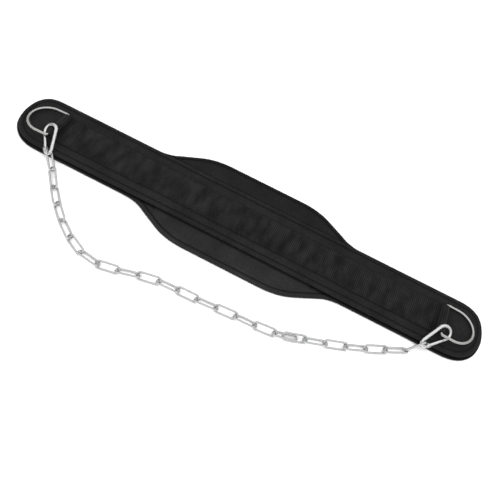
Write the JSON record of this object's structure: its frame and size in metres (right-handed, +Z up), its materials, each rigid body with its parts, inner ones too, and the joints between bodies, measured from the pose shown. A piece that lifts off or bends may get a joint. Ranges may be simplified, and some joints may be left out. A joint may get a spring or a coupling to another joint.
{
  "type": "weightlifting dip belt with chain",
  "caption": "Padded weightlifting belt with a wide back panel, a sewn webbing strap, a D-ring at each end and a steel chain on two snap hooks, lying open.",
  "frame": {"origin": "middle of the base pad's underside, on the surface that the belt lies on", "axes": "+X along the belt, to the right as it is seen with the chain nearest; the chain lies on the -Y side; +Z up, out of the strap's face"},
  "size_m": [0.77, 0.2522, 0.0321],
  "materials": {
    "pad": "matt black woven cover over foam",
    "webbing": "matt black webbing with fine cross ribs",
    "nickel": "bright nickel plating",
    "zinc": "bright zinc plating"
  },
  "bodies": {
    "belt": {"base_pad": "pad", "overlay_band": "pad", "strap": "webbing", "d_ring_left": "nickel", "d_ring_right": "nickel", "carabiner_left": "zinc", "carabiner_right": "zinc", "gate_rivet_left": "zinc", "gate_rivet_right": "zinc", "link_01": "zinc", "link_02": "zinc", "link_03": "zinc", "link_04": "zinc", "link_05": "zinc", "link_06": "zinc", "link_07": "zinc", "link_08": "zinc", "link_09": "zinc", "link_10": "zinc", "link_11": "zinc", "link_12": "zinc", "link_13": "zinc", "link_14": "zinc", "link_15": "zinc", "link_16": "zinc", "link_17": "zinc", "link_18": "zinc", "link_19": "zinc", "link_20": "zinc", "link_21": "zinc", "link_22": "zinc", "link_23": "zinc", "link_24": "zinc"},
    "gate_left": {"gate_left": "zinc"},
    "gate_right": {"gate_right": "zinc"}
  },
  "joints": [
    {"name": "gate_left_hinge", "type": "hinge", "parent": "belt", "child": "gate_left", "pos_m": [-0.30949, -0.0474, 0.01455], "axis": [0.3508, 0.4089, -0.8424], "range_deg": [0, 5], "stiffness_Nm_per_rad": 0.004, "springref_deg": -14.32},
    {"name": "gate_right_hinge", "type": "hinge", "parent": "belt", "child": "gate_right", "pos_m": [0.30902, -0.04952, 0.01356], "axis": [0.2978, -0.4696, 0.8311], "range_deg": [0, 16], "stiffness_Nm_per_rad": 0.004, "springref_deg": -14.32}
  ]
}
